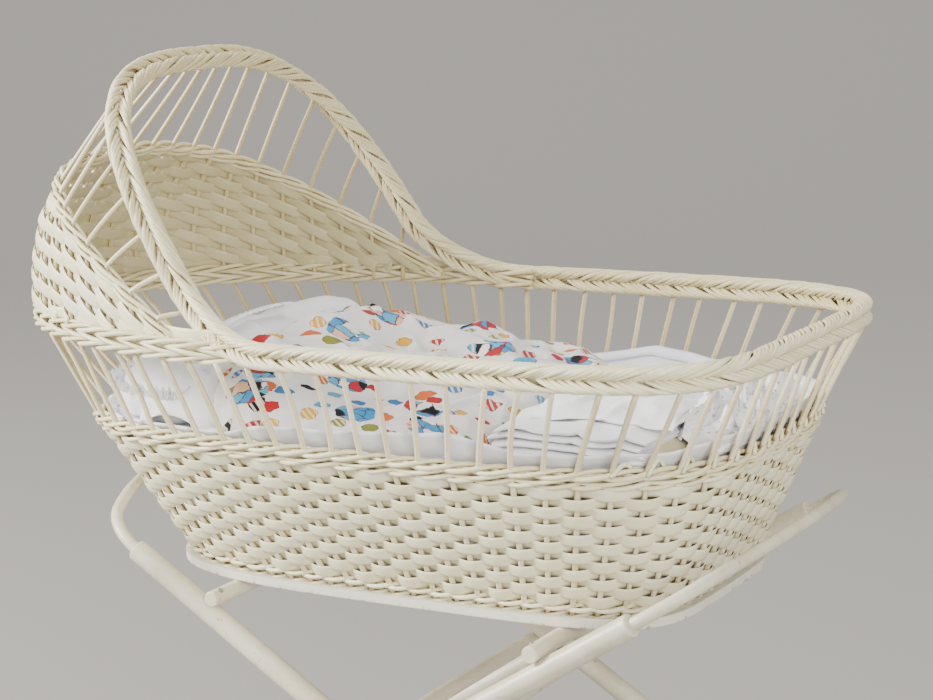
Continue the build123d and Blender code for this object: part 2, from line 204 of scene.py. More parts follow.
class Bundle:
    """Gathers many rods and splints into one mesh, each with its own tint."""

    def __init__(self):
        self.verts, self.faces, self.tints = [], [], []
        self.count = 0

    def strip(self, path, normal, section, closed=False):
        """Sweeps a section, given as (out, across) offsets per point, along a path."""
        n, m = len(path), section.shape[-2]
        along = unit(steps_along(path, closed))
        out = unit(normal - along * (normal * along).sum(1, keepdims=True))
        across = np.cross(along, out)
        section = np.broadcast_to(section, (n, m, 2))
        verts = path[:, None] + out[:, None] * section[..., :1] + across[:, None] * section[..., 1:]
        self.verts.append(verts.reshape(-1, 3))
        ring = np.arange(m)
        rows = np.arange(n if closed else n - 1)[:, None]
        here, ahead, beside = rows * m, (rows + 1) % n * m, (ring + 1) % m
        faces = np.stack([here + ring, here + beside, ahead + beside, ahead + ring], -1)
        self.faces += (faces.reshape(-1, 4) + self.count).tolist()
        if not closed:
            self.faces.append((np.arange(m)[::-1] + self.count).tolist())
            self.faces.append((np.arange(m) + (n - 1) * m + self.count).tolist())
        self.tints.append(np.full(n * m, rng.random()))
        self.count += n * m

    def rod(self, path, radius, normal=None, closed=False, sides=7):
        if normal is None:
            normal = np.tile([[0.13, 0.21, 0.97]], (len(path), 1))  # any way that no rod runs
        angle = round_turns(sides)
        radius = np.broadcast_to(radius, len(path))[:, None, None]
        section = np.stack([np.cos(angle), np.sin(angle)], -1)[None] * radius
        self.strip(path, normal, section, closed)

    def make(self, name, material, nodes):
        piece = new_piece(name, np.vstack(self.verts), self.faces, material)
        shade = piece.data.attributes.new("tint", "FLOAT", "POINT")
        shade.data.foreach_set("value", np.concatenate(self.tints).astype(np.float32))
        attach(piece, "basket")
        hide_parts(*nodes)


def splint_section(width, thick):
    """Flat splint with rounded edges and a slightly crowned face."""
    share = np.array([-1, -0.94, -0.5, 0, 0.5, 0.94, 1, 0.94, 0.5, 0, -0.5, -0.94])
    face = np.array([0, 0.7, 1.15, 1.3, 1.15, 0.7, 0, -0.7, -0.9, -1.0, -0.9, -0.7])
    width = np.atleast_1d(width)[:, None]
    return np.stack([np.broadcast_to(face * thick / 2, (len(width), 12)), share * width / 2], -1)


# ================================================================ materials
class Nodes:
    """A new material, with short calls for the few node kinds that it uses."""

    def __init__(self, name):
        self.material = bpy.data.materials.new(name)
        self.material.use_nodes = True
        self.tree = self.material.node_tree
        self.shader = self.tree.nodes["Principled BSDF"]

    def put(self, socket, value):
        """Links an output to a socket, or sets the socket's own value."""
        if hasattr(value, "is_linked"):
            self.tree.links.new(value, socket)
        else:
            socket.default_value = (*value, 1) if socket.type == "RGBA" else value

    def add(self, kind, **values):
        """A node. Each value is one of its settings or, with _ for a space, one of its sockets."""
        node = self.tree.nodes.new("ShaderNode" + kind)
        for key, value in values.items():
            if hasattr(node, key):
                setattr(node, key, value)
            else:
                self.put(node.inputs[key.replace("_", " ")], value)
        return node

    def surface(self, base, **values):
        """The shader's colour and its plain values."""
        self.put(self.shader.inputs["Base Color"], base)
        for key, value in values.items():
            self.put(self.shader.inputs[key.replace("_", " ")], value)

    def place(self, scale=(1, 1, 1)):
        coords = self.add("TexCoord").outputs["Object"]
        return self.add("Mapping", Scale=scale, Vector=coords).outputs["Vector"]

    def noise(self, vector, scale, detail=3.0, rough=0.55):
        node = self.add("TexNoise", Scale=scale, Detail=detail, Roughness=rough, Vector=vector)
        return node.outputs["Fac"]

    def ramp(self, value, stops, constant=False):
        node = self.add("ValToRGB")
        if constant:
            node.color_ramp.interpolation = "CONSTANT"
        ends = node.color_ramp.elements
        for point, (at, colour) in ((ends[0], stops[0]), (ends[1], stops[-1])):
            point.position = at
            point.color = (*colour, 1)
        for at, colour in stops[1:-1]:
            ends.new(at).color = (*colour, 1)
        self.put(node.inputs["Fac"], value)
        return node.outputs["Color"]

    def rise(self, value, low, high, constant=False):
        """Black up to low, white from high on."""
        return self.ramp(value, [(low, BLACK), (high, WHITE)], constant)

    def fall(self, value, low, high):
        """White up to low, black from high on."""
        return self.ramp(value, [(low, WHITE), (high, BLACK)])

    def mix(self, fac, a, b, blend="MIX"):
        node = self.add("Mix", data_type="RGBA", blend_type=blend)
        for index, value in ((0, fac), (6, a), (7, b)):
            self.put(node.inputs[index], value)
        return node.outputs[2]

    def maths(self, operation, *values):
        node = self.add("Math", operation=operation)
        for socket, value in zip(node.inputs, values):
            self.put(socket, value)
        return node.outputs[0]

    def vector_maths(self, operation, a, b, result="Vector"):
        node = self.add("VectorMath", operation=operation)
        self.put(node.inputs[0], a)
        self.put(node.inputs[1], b)
        return node.outputs[result]

    def bump(self, height, strength, distance):
        node = self.add("Bump", Strength=strength, Distance=distance, Height=height)
        self.put(self.shader.inputs["Normal"], node.outputs["Normal"])


def inside_painted_shade_mask(n):
    """1 on faces that look towards the basket's upright middle line, 0 on the others: the mask for the
    painted shade on the basket's inside.
    """
    coords = n.add("TexCoord").outputs
    away = n.vector_maths("SUBTRACT", coords["Object"], (MIDDLE_X, 0, 0))
    level = n.vector_maths("MULTIPLY", away, (1, 1, 0))
    facing = n.maths("MULTIPLY", n.vector_maths("DOT_PRODUCT", level, coords["Normal"], "Value"), -8.0)
    facing.node.use_clamp = True
    return facing


def wicker_paint(name, light, dark, wear, grain, inner):
    """Old cream paint on willow: every rod a little different and yellow-brown where it is worn, with painted
    yellow-brown shade in the crevices and painted shade, darker by `inner`, on the basket's inside."""
    n = Nodes(name)
    place = n.place()
    base = n.mix(n.add("Attribute", attribute_name="tint").outputs["Fac"], light, dark)
    patches = n.noise(place, 26.0, 4.0)
    base = n.mix(n.maths("MULTIPLY", patches, 0.5), base, tuple(v * 0.93 for v in light))
    specks = n.noise(place, 210.0, 6.0, 0.7)
    worn = n.rise(specks, 0.60 - wear * 0.12, 0.74)
    large = n.ramp(n.noise(place, 9.0, 2.0), [(0.42, (0.15, 0.15, 0.15)), (0.68, WHITE)])
    worn = n.maths("MULTIPLY", n.maths("MULTIPLY", worn, large), 0.75 * wear + 0.1)
    base = n.mix(worn, base, BARE_WILLOW)
    # Painted shade: ambient occlusion multiplies the crevices between rods and splints towards yellow-brown.
    crevice_painted_shade = n.add("AmbientOcclusion", samples=6, Distance=0.007).outputs["AO"]
    base = n.mix(0.9, base, n.ramp(crevice_painted_shade, [(0.05, (0.58, 0.47, 0.32)), (0.55, WHITE)]), "MULTIPLY")
    # Painted shade: faces that look into the basket are multiplied by `inner`, so the inside reads darker.
    base = n.mix(inside_painted_shade_mask(n), base, n.mix(1.0, base, inner, "MULTIPLY"))
    n.surface(base, Roughness=0.42, Specular_IOR_Level=0.42)
    streaks = n.noise(n.place(grain), 40.0, 5.0, 0.6)
    n.bump(n.mix(0.5, streaks, specks), strength=0.22, distance=0.0012)
    return n.material


def pole_paint():
    """Gloss paint on round poles: brush streaks, chips to bare wood and darker dirt."""
    n = Nodes("painted_pole_finish")
    place = n.place()
    streak = n.noise(n.place((1, 8, 1)), 34.0, 5.0)
    base = n.mix(streak, (0.77, 0.735, 0.585), (0.62, 0.575, 0.42))
    grime = n.ramp(n.noise(place, 14.0, 6.0, 0.65), [(0.44, BLACK), (0.70, (0.75, 0.75, 0.75))])
    base = n.mix(grime, base, (0.50, 0.44, 0.30))
    chips = n.rise(n.noise(place, 120.0, 8.0, 0.72), 0.61, 0.65)
    zone = n.rise(n.noise(place, 11.0, 1.0), 0.50, 0.62)
    base = n.mix(n.maths("MULTIPLY", chips, zone), base, (0.36, 0.22, 0.11))
    n.surface(base, Roughness=0.36, Specular_IOR_Level=0.45)
    n.bump(n.mix(0.4, streak, chips), strength=0.25, distance=0.0010)
    return n.material


def board_paint():
    """Painted plywood, chipped along its lower edge."""
    n = Nodes("painted_board_finish")
    place = n.place()
    base = n.mix(n.noise(place, 30.0, 5.0), (0.80, 0.775, 0.67), (0.70, 0.66, 0.54))
    chips = n.rise(n.noise(place, 95.0, 8.0, 0.75), 0.55, 0.60)
    height = n.add("SeparateXYZ", Vector=place).outputs["Z"]
    low = n.fall(height, BASE_Z + 0.0022, BASE_Z + 0.0045)
    base = n.mix(n.maths("MULTIPLY", chips, low), base, (0.33, 0.22, 0.13))
    n.surface(base, Roughness=0.5)
    n.bump(chips, strength=0.3, distance=0.0008)
    return n.material


def bare_wood():
    """Thinly painted bars with the grain showing through."""
    n = Nodes("bare_bar_finish")
    grain = n.noise(n.place((9, 0.8, 9)), 60.0, 6.0, 0.6)
    base = n.mix(grain, (0.80, 0.76, 0.63), (0.62, 0.52, 0.35))
    worn = n.rise(n.noise(n.place(), 24.0, 7.0, 0.7), 0.55, 0.66)
    base = n.mix(n.maths("MULTIPLY", worn, 0.7), base, (0.52, 0.36, 0.20))
    n.surface(base, Roughness=0.55)
    n.bump(grain, strength=0.25, distance=0.0008)
    return n.material


def steel():
    """Dull, slightly rusty steel."""
    n = Nodes("steel_fastener_finish")
    base = n.mix(n.noise(n.place(), 300.0, 4.0), (0.50, 0.49, 0.46), (0.34, 0.30, 0.25))
    n.surface(base, Metallic=0.9, Roughness=0.45)
    n.bump(n.noise(n.place(), 800.0), strength=0.2, distance=0.0004)
    return n.material


def thread_bump(n, fine, folds, strength):
    """Crossed threads with soft creases over them."""
    waves_both_ways = [n.add("TexWave", wave_type="BANDS", bands_direction=way, Scale=fine, Distortion=1.2,
                             Vector=n.place()).outputs["Fac"] for way in "XY"]
    threads = n.maths("MULTIPLY", n.maths("ADD", *waves_both_ways), 0.06)
    creases = n.noise(n.place(), folds, 5.0, 0.55)
    n.bump(n.maths("ADD", threads, creases), strength, distance=0.004)


def cotton(name, light, dark, fine=420.0, folds=30.0, strength=0.35):
    """Plain woven cotton."""
    n = Nodes(name)
    base = n.mix(n.noise(n.place(), 18.0, 4.0), light, dark)
    n.surface(base, Roughness=0.92, Specular_IOR_Level=0.15, Sheen_Weight=0.25)
    thread_bump(n, fine, folds, strength)
    return n.material


def quilt_print():
    """Off-white cotton strewn with small plain shapes, some of them striped, and with larger motley blots."""
    n = Nodes("printed_cotton_finish")
    spot = n.add("Attribute", attribute_name="print").outputs["Vector"]
    wobble = n.add("TexNoise", Scale=95.0, Vector=spot).outputs["Color"]
    flat = {"voronoi_dimensions": "2D", "Vector": n.mix(0.010, spot, wobble, "ADD")}

    cells = n.add("TexVoronoi", **flat, distance="MINKOWSKI", Exponent=3.0, Scale=32.0,
                  Randomness=0.70).outputs
    pick = n.add("SeparateColor", Color=cells["Color"]).outputs
    size = n.maths("MULTIPLY_ADD", pick[1], 0.14, 0.17)
    inside = n.maths("SUBTRACT", size, cells["Distance"])
    fill = n.rise(inside, 0.0, 0.004)
    outline = n.ramp(inside, [(0.0, BLACK), (0.004, WHITE), (0.020, WHITE), (0.030, BLACK)])
    colours = [(0.0, (0.42, 0.015, 0.02)), (0.19, (0.03, 0.17, 0.40)), (0.36, (0.68, 0.36, 0.02)),
               (0.50, (0.20, 0.22, 0.03)), (0.62, (0.05, 0.33, 0.52)), (0.74, (0.60, 0.12, 0.02)),
               (0.86, (0.01, 0.01, 0.015)), (0.92, (0.40, 0.03, 0.04))]
    paint = n.ramp(pick[0], colours, constant=True)
    stripes = n.add("TexWave", wave_type="BANDS", bands_direction="DIAGONAL", Scale=80.0, Vector=spot)
    striped = n.maths("MULTIPLY", n.rise(stripes.outputs["Fac"], 0.62, 0.70),
                      n.rise(pick[2], 0.55, 0.56, constant=True))
    paint = n.mix(n.maths("MULTIPLY", striped, 0.8), paint, (0.80, 0.66, 0.50))
    paint = n.mix(n.maths("MULTIPLY", outline, 0.8), paint, (0.05, 0.04, 0.05))

    patchwork = n.add("TexVoronoi", **flat, Scale=11.0, Randomness=0.8)
    pieces = n.add("TexVoronoi", **flat, Scale=78.0)
    seams = n.add("TexVoronoi", **flat, feature="DISTANCE_TO_EDGE", Scale=78.0)
    blot = n.fall(patchwork.outputs["Distance"], 0.215, 0.22)
    tone = n.add("SeparateColor", Color=pieces.outputs["Color"]).outputs[0]
    bright = [(0.0, (0.04, 0.26, 0.52)), (0.26, (0.80, 0.775, 0.74)), (0.48, (0.44, 0.02, 0.03)),
              (0.62, (0.74, 0.40, 0.27)), (0.74, (0.09, 0.38, 0.58)), (0.90, (0.012, 0.012, 0.015))]
    motley = n.mix(n.fall(seams.outputs["Distance"], 0.03, 0.06), n.ramp(tone, bright, constant=True),
                   (0.06, 0.05, 0.06))

    cloth = n.mix(n.noise(n.place(), 22.0, 4.0), (0.80, 0.775, 0.74), (0.70, 0.675, 0.64))
    base = n.mix(blot, n.mix(fill, cloth, paint), motley)
    n.surface(base, Roughness=0.9, Specular_IOR_Level=0.15, Sheen_Weight=0.04)
    thread_bump(n, 420.0, 30.0, 0.55)
    return n.material


def lace():
    """White cotton with rows of small stitched holes, their centres painted grey as the shade seen through
    them.
    """
    n = Nodes("eyelet_lace_finish")
    cells = n.add("TexVoronoi", voronoi_dimensions="3D", Scale=150.0, Randomness=0.35, Vector=n.place())
    # Painted shade: the hole centres are grey, standing in for the shade seen through the holes.
    holes = n.rise(cells.outputs["Distance"], 0.20, 0.28)
    base = n.mix(holes, (0.52, 0.52, 0.53), (0.86, 0.86, 0.88))
    n.surface(base, Roughness=0.95, Specular_IOR_Level=0.1)
    n.bump(n.maths("ADD", holes, n.noise(n.place(), 60.0, 4.0)), strength=0.5, distance=0.003)
    return n.material


# The `inner` colours are painted shade, multiplied onto the faces inside the basket.
rod_paint = wicker_paint("painted_rod_finish", (0.87, 0.82, 0.58), (0.76, 0.68, 0.40), 0.9, (3, 3, 3),
                         inner=(0.78, 0.74, 0.64))
splint_paint = wicker_paint("painted_splint_finish", (0.89, 0.845, 0.60), (0.81, 0.75, 0.48), 0.5, (1, 1, 5),
                            inner=(0.58, 0.54, 0.44))
stake_paint = wicker_paint("painted_stake_finish", (0.85, 0.79, 0.57), (0.72, 0.60, 0.35), 1.0, (4, 4, 1),
                           inner=(0.70, 0.62, 0.46))


# ================================================================ woven walls
def over_under(phase):
    """A splint's swing from one side of the stakes to the other, a little flat at each crossing."""
    swing = np.cos(np.pi * phase)
    return np.sign(swing) * np.abs(swing) ** 0.8


def wander(count, size, waves=5):
    """Slow random drift along a rod, closed on itself."""
    turn = round_turns(count)
    drift = sum(rng.normal() / k * np.cos(k * turn + rng.uniform(0, 6.3)) for k in range(1, waves + 1))
    return size * drift


def lower_wall():
    """Rows of splints, each passing in front of and behind the stakes in turn."""
    bundle = Bundle()
    count = STAKES * SPLINT_STEPS
    pitch = (WALL_TOP - BORDER_TOP) / WALL_ROWS
    phase = (np.arange(count) + 0.5) / count * STAKES - 0.5
    for row in range(WALL_ROWS):
        ring, normal = wall_ring(BORDER_TOP + (row + 0.5) * pitch, count, WEAVE_INSET)
        swing = WEAVE_SWING + 0.0002 * np.cos(phase * 0.37 + row)
        path = ring + normal * (swing * over_under(phase + row))[:, None]
        path[:, 2] += wander(count, 0.0004, 60)
        width = SPLINT_W * (1 + 0.03 * rng.normal()) + wander(count, 0.0003, 30)
        bundle.strip(path, normal, splint_section(width, SPLINT_T), closed=True)
    bundle.make("lower_wall_weave", splint_paint, nodes=["lower_wall"])


def wale(bundle, ring, normal, up, columns, twist, swing, rise, radius, strands=3, period=3.0, closed=True):
    """Rods twisted about each other round the stakes. Columns counts stakes along the ring, and each rod
    goes round once in a period of stakes."""
    for strand in range(strands):
        turn = twist * 2 * np.pi * (columns / period + strand / strands)
        path = ring + normal * (swing * np.cos(turn))[:, None] + up * (rise * np.sin(turn))[:, None]
        path[:, 2] += wander(len(path), 0.0003, 40)
        bundle.rod(path, radius * (1 + 0.10 * np.cos(columns * 0.9 + strand * 2 + twist)), normal, closed)


def wale_round_wall(bundle, z, inset, swing, rise, radius, strands=3, period=3.0, shift=0.0):
    """A closed wale round the wall; shift moves its pattern along by that many stakes."""
    count = STAKES * WALE_STEPS
    columns = (np.arange(count) + 0.5) / count * STAKES
    ring, normal = wall_ring(z, count, inset)
    up = np.array([0, 0, 1.0])
    wale(bundle, ring, normal, up, columns + shift, 1, swing, rise, radius, strands, period)


def base_border():
    """Twisted roll on the board, where the wall starts."""
    bundle = Bundle()
    wale_round_wall(bundle, BORDER_TOP - 0.0025, inset=0.0055, swing=0.0045, rise=0.0016, radius=0.0022)
    wale_round_wall(bundle, BOARD_TOP + 0.0004, inset=0.0060, swing=0.0040, rise=0.0012, radius=0.0022,
                    strands=2, period=2.0, shift=0.4)
    bundle.make("base_border_twist", rod_paint, nodes=["base_border"])


def foot_hoops(bundle):
    """Small loops of rod that stand on the wale round the foot end."""
    ring, normal = wall_ring(WALE_TOP - 0.002, STAKES * WALE_STEPS, 0.0062)
    share = np.linspace(0, 1, 9)
    steps = np.rint(share * HOOP_SPAN)
    for start in range(4, len(ring), WALE_STEPS):
        if ring[start, 0] > PIVOT_X + 0.245:
            at = (start + steps.astype(int)) % len(ring)
            path = ring[at] + normal[at] * (0.0058 * np.cos(np.pi * share))[:, None]
            reach = (ring[(start + HOOP_SPAN) % len(ring)] - ring[start])[:2]
            path[:, :2] += reach * (share - steps / HOOP_SPAN)[:, None]
            path[:, 2] += 0.0085 * np.sin(np.pi * share) * (1 + 0.15 * rng.normal())
            bundle.rod(path, 0.0021)


def lower_wale():
    """Twisted band that closes the woven wall."""
    bundle = Bundle()
    for z in (WALL_TOP + 0.0045, WALE_TOP - 0.0042):
        wale_round_wall(bundle, z, inset=0.0065, swing=0.0052, rise=0.0024, radius=0.0023)
    wale_round_wall(bundle, WALL_TOP + 0.009, inset=0.0060, swing=0.0050, rise=0.0034, radius=0.0021,
                    strands=2, period=4.0, shift=1.3)
    foot_hoops(bundle)
    bundle.make("lower_wale_twist", rod_paint, nodes=["lower_wale"])


def wall_stakes():
    """Each stake is one rod: up through the lower wall, then leaning out through the gallery to the rim."""
    bundle = Bundle()
    heights = np.linspace(BOARD_TOP, WALE_TOP, 9)
    rings = [wall_ring(z, STAKES, 0.0046 if z < WALL_TOP else 0.0062)[0] for z in heights]
    tops = closed_ring(RIM_OVAL, RIM_LOW, STAKES, STAKE_TOP_INSET)
    tops[:, 2] += hood_rise(tops[:, 0])
    for i in range(STAKES):
        foot, top = rings[-1][i], tops[i]
        share = np.linspace(0, 1, 9)[1:, None]
        bow = np.sin(np.pi * share) * np.array([rng.normal(0, 0.0011), rng.normal(0, 0.0011), 0])
        lean = np.array([rng.normal(0, 0.0016), rng.normal(0, 0.0010), 0.003])
        gallery = foot + (top + lean - foot) * share + bow
        path = np.vstack([[ring[i] for ring in rings], gallery])
        radius = STAKE_R * (1 + rng.normal(0, 0.05)) * (1 - 0.05 * np.linspace(0, 1, len(path)))
        bundle.rod(path, radius, sides=10)
    bundle.make("wall_stakes", stake_paint, nodes=[f"gallery_stakes_{side}" for side in SIDES])


# ================================================================ the hood
def hood_rise(x):
    """How far the foot band has risen towards the head at x."""
    return np.maximum(0, ARCH_X - x) * math.tan(HOOD_TILT)


def head_turns(per_stake, beyond=1.0):
    """Outline turns at and between the stakes behind the arch, with each one's place in stakes; the
    first and last stakes are followed by `beyond` more at the same spacing."""
    x, y = oval_xy(RIM_OVAL - STAKE_TOP_INSET * SIZES, TURNS)
    marks = even(np.stack([x, y, TURNS], -1), STAKES, True, 2)
    behind = marks[marks[:, 0] < ARCH_X, 2]
    last = len(behind) - 1
    places = np.arange(-beyond, last + beyond + 1e-6, 1.0 / per_stake)
    turns = np.interp(places, np.arange(last + 1), behind)
    turns = np.where(places < 0, behind[0] + places * (behind[1] - behind[0]), turns)
    past = places - last
    return np.where(past > 0, behind[-1] + past * (behind[-1] - behind[-2]), turns), places


LEVELS = np.linspace(0.238, 0.440, 80)


def hood_columns(turns, inset):
    """Lines up the hood's surface, their lengths, and where they cross the foot band and the cut."""
    lines = np.stack([np.column_stack([*oval_xy(hood_oval(z) - inset * SIZES, turns),
                                       np.full(len(turns), z)]) for z in LEVELS])
    steps = np.linalg.norm(np.diff(lines, axis=0), axis=2)
    run = np.concatenate([np.zeros((1, len(turns))), np.cumsum(steps, 0)])
    x, z = lines[:, :, 0], lines[:, :, 2]
    back = ARCH_X - x
    above_band = z - (RIM_LOW + HOOD_BAND / math.cos(HOOD_TILT) + back * math.tan(HOOD_TILT))
    below_cut = z - (HOOD_CUT_Z + back * math.tan(HOOD_CUT))
    foot, top = (np.array([np.interp(0, side[:, i], run[:, i]) for i in range(len(turns))])
                 for side in (above_band, below_cut))
    return lines, run, foot, top


def up_column(lines, run, column, at):
    """The point at length `at` up one of the lines, in the shared frame."""
    return [np.interp(at, run[:, column], lines[:, column, k]) for k in range(3)] + ABOVE_FLOOR


def on_columns(lines, run, at):
    """The points at the lengths `at` up the lines, one on each."""
    return np.array([up_column(lines, run, column, length) for column, length in enumerate(at)])


def hood_path(lines, run, at):
    """Points up the columns, with the surface's outward normals and upward directions."""
    here = on_columns(lines, run, at)
    up = unit(on_columns(lines, run, at + 0.003) - here)
    along = np.gradient(here, axis=0)
    return here, unit(np.cross(along, up)), up


def hood_weave():
    """Splints that follow the top edge and end one after the other on the foot band."""
    bundle = Bundle()
    turns, places = head_turns(SPLINT_STEPS, 2.0)
    lines, run, foot, top = hood_columns(turns, WEAVE_INSET)
    for row in range(100):
        at = top - 0.012 - (row + 0.5) * HOOD_PITCH
        inside = np.flatnonzero(at > foot + 0.001)
        if len(inside) < 3 * SPLINT_STEPS:
            break
        inside = inside[(inside >= 4) & (inside < len(places) - 4)]
        here, normal, up = hood_path(lines, run, np.maximum(at, foot - 0.004))
        swing = WEAVE_SWING * over_under(places + row)
        path = here + normal * swing[:, None] + up * wander(len(here), 0.0005, 24)[:, None]
        keep = slice(max(inside[0] - 3, 0), inside[-1] + 4)
        width = SPLINT_W * (1 + 0.03 * rng.normal()) + wander(len(here), 0.0004, 12)
        bundle.strip(path[keep], normal[keep], splint_section(width[keep], SPLINT_T))
    here, normal, up = hood_path(lines, run, foot + 0.004)
    path = here + normal * (0.0030 * over_under(places + 1))[:, None]
    bundle.strip(path[1:-1], normal[1:-1], splint_section(0.011, SPLINT_T))
    bundle.make("hood_splints", splint_paint, nodes=["hood_weave"])


def hood_foot_band():
    """Rows of rods twisted opposite ways, so that they point along the band like arrowheads."""
    bundle = Bundle()
    turns, places = head_turns(WALE_STEPS, 3.0)
    x, y = oval_xy(RIM_OVAL - 0.009 * SIZES, turns)
    line = np.column_stack([x, y, BASE_Z + RIM_LOW + hood_rise(x)])
    normal = -outward(line, closed=False)
    normal *= np.sign((normal * (line - [PIVOT_X - 0.06, 0, 0])).sum(1, keepdims=True))
    up = np.array([-math.sin(HOOD_TILT), 0, math.cos(HOOD_TILT)])
    past_arch = np.abs(places - (places[0] + places[-1]) / 2) - places[-1] / 2 + 1.1
    line = line - normal * (0.012 * np.clip(past_arch / 2.0, 0, 1) ** 1.5)[:, None]  # ends tucked inside
    for height, twist in ((0.0046, 1), (0.0112, -1), (0.0176, 1)):
        wale(bundle, line + up * height, normal, up, places, twist, swing=0.0056, rise=0.0030,
             radius=0.0023, closed=False)
    bundle.make("hood_foot_twist", rod_paint, nodes=["hood_foot_band"])


def hood_wale():
    """Two rows of twisted rods along the hood's woven edge."""
    bundle = Bundle()
    turns, places = head_turns(WALE_STEPS)
    lines, run, foot, top = hood_columns(turns, WEAVE_INSET)
    inside = np.flatnonzero(top > foot - 0.006)
    keep = slice(inside[0], inside[-1] + 1)
    for below in (0.0102, 0.0045):
        here, normal, up = hood_path(lines, run, np.maximum(top - below, foot - 0.010))
        wale(bundle, here[keep], normal[keep], up[keep], places[keep], 1, swing=0.0052, rise=0.0026,
             radius=0.0022, closed=False)
    bundle.make("hood_top_twist", rod_paint, nodes=["hood_wale"])


def arch_line():
    """Middle of the arch from its near foot over the top to its far foot, with the height of each point."""
    turn = np.linspace(np.pi, 0, 400)
    across = squared(np.cos(turn), ARCH_SQUARE) * ARCH_HALF
    high = np.abs(np.sin(turn)) ** (2 / ARCH_SQUARE) * ARCH_HIGH
    up = np.array([-math.sin(ARCH_LEAN), 0, math.cos(ARCH_LEAN)])
    start = np.array([ARCH_X, 0, BASE_Z + RIM_TOP])
    return start + across[:, None] * [0, 1.0, 0] + high[:, None] * up, high


def hood_stakes():
    """The stakes behind the arch: up inside the weave, then bowed forward to the back of the arch."""
    bundle = Bundle()
    lines, run, foot, top = hood_columns(head_turns(1)[0], 0.0048)
    count = len(foot) - 2  # the first and last columns are past the arch
    arch, _ = arch_line()
    spread = (np.arange(count) + 0.5) / count
    spread = spread + 0.055 * np.sin(2 * np.pi * spread)
    ends = even(arch[::-1], 801, False)[np.rint(spread * 800).astype(int)]
    ends = ends + np.array([-math.cos(ARCH_LEAN), 0, -math.sin(ARCH_LEAN)]) * 0.004
    for column, end in enumerate(ends, 1):
        if top[column] - foot[column] <= 0.004:
            continue
        levels = np.linspace(foot[column] - 0.018, top[column], 9)
        part = np.array([up_column(lines, run, column, level) for level in levels])
        span = end - part[-1]
        if np.linalg.norm(span) < 0.030:
            bundle.rod(part, STAKE_R, sides=9)
            continue
        leave = unit(part[-1] - part[-2])
        middle = part[-1] + leave * np.linalg.norm(span) * 0.06 + span * 0.46
        share = np.linspace(0, 1, 13)[1:, None]
        bend = (1 - share) ** 2 * part[-1] + 2 * share * (1 - share) * middle + share ** 2 * end
        path = np.vstack([part, bend])
        taper = np.linspace(1.0, 0.82, len(path)) * (1 + rng.normal(0, 0.04))
        bundle.rod(path, STAKE_R * 0.95 * taper, sides=9)
    bundle.make("hood_stakes_bent", stake_paint, nodes=["hood_stakes"])


def plait_route():
    """One closed line: over the arch, down its near leg, round the rim past the foot end, up the far leg."""
    arch, high = arch_line()
    radial = np.gradient(arch, axis=0)
    front = np.array([math.cos(ARCH_LEAN), 0, math.sin(ARCH_LEAN)])
    radial = unit(np.cross(radial, front))
    radial *= np.sign((radial * (arch - arch.mean(0))).sum(1, keepdims=True))
    tip = (math.radians(62) * (high / ARCH_HIGH) ** 1.3)[:, None]
    facing = radial * np.cos(tip) + front * np.sin(tip)
    keep = high > 0.060
    arch, facing = arch[keep], facing[keep]
    x, y = oval_xy(RIM_OVAL - PLAIT_INSET * SIZES, TURNS)
    rim = np.column_stack([x, y, np.full(len(x), BASE_Z + (RIM_LOW + RIM_TOP) / 2)])
    side = outward(rim)
    order = np.argsort((TURNS + np.pi) % (2 * np.pi))
    rim, side = rim[order], side[order]
    keep = rim[:, 0] > ARCH_X + 0.085
    rim, side = rim[keep], side[keep]

    def bridge(a, a_way, b, b_way, reach=0.045):
        """Smooth curve that leaves a along a_way and comes into b along b_way."""
        share = np.linspace(0, 1, 26)[1:-1, None]
        c0, c1 = a + a_way * reach, b - b_way * reach
        return ((1 - share) ** 3 * a + 3 * share * (1 - share) ** 2 * c0
                + 3 * share ** 2 * (1 - share) * c1 + share ** 3 * b)

    def turned(a, b, count):
        """Directions that turn from a to b."""
        share = np.linspace(0, 1, count + 2)[1:-1, None]
        return unit(a * (1 - share) + b * share)

    near = bridge(arch[0], unit(arch[0] - arch[1]), rim[0], unit(rim[1] - rim[0]))
    far = bridge(rim[-1], unit(rim[-1] - rim[-2]), arch[-1], unit(arch[-2] - arch[-1]))
    line = np.vstack([arch[::-1], near, rim, far])
    facing = np.vstack([facing[::-1], turned(facing[0], side[0], len(near)), side,
                        turned(side[-1], facing[-1], len(far))])
    return line, unit(facing)


def rim_and_arch():
    """A flat plait of five strands, each a bundle of four rods lying side by side."""
    bundle = Bundle()
    line, facing = plait_route()
    length = np.linalg.norm(np.diff(np.vstack([line, line[:1]]), axis=0), axis=1).sum()
    periods = round(length / PLAIT_PERIOD)
    count = periods * 32
    marks = even(np.column_stack([line, facing]), count, True)
    path, out = marks[:, :3], unit(marks[:, 3:])
    along = unit(steps_along(path, closed=True))
    out = unit(out - along * (out * along).sum(1, keepdims=True))
    across = np.cross(along, out)
    turn = 2 * np.pi * periods * (np.arange(count) + 0.5) / count
    for strand in range(PLAIT_STRANDS):
        for lag in (-0.39, -0.13, 0.13, 0.39):
            phase = turn + strand * 2 * np.pi / PLAIT_STRANDS + lag + wander(count, 0.05, 60)
            side = PLAIT_HALF * np.sin(phase) + wander(count, 0.00025, 70)
            deep = PLAIT_DEEP * np.sin(2 * phase) + wander(count, 0.0003, 50)
            rod = path + across * side[:, None] + out * deep[:, None]
            bundle.rod(rod, PLAIT_ROD_R * (1 + 0.06 * rng.normal()), out, closed=True, sides=8)
    bundle.make("rim_and_arch_plait", rod_paint, nodes=["rim_border", "hood_arch"])


